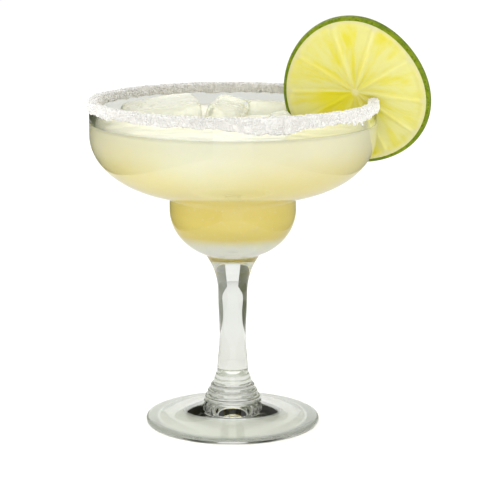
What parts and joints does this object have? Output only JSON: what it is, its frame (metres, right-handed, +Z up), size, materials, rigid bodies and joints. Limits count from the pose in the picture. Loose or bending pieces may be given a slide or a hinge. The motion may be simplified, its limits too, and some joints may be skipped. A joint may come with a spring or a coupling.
{
  "type": "margarita cocktail",
  "caption": "Cloudy pale yellow cocktail on ice in a clear stemmed glass, a wide bowl over a narrow well, with a salted rim and a lime wheel slit over it.",
  "frame": {"origin": "on the table, in the middle of the foot, on the glass's axis", "axes": "+Z up the stem, +X towards the lime wheel, -Y towards the side the drink is seen from"},
  "size_m": [0.1376, 0.1167, 0.1645],
  "materials": {
    "clear_glass": "clear, polished",
    "drink": "cloudy liquid, paler at the top",
    "salt": "coarse white crystals",
    "lime": "wet flesh, white pith, green rind",
    "ice": "wet, half clear"
  },
  "bodies": {
    "root": {"glass": "clear_glass", "drink": "drink", "salt_rim": "salt", "lime_wheel": "lime", "ice_1": "ice", "ice_2": "ice", "ice_3": "ice", "ice_4": "ice"}
  },
  "joints": []
}
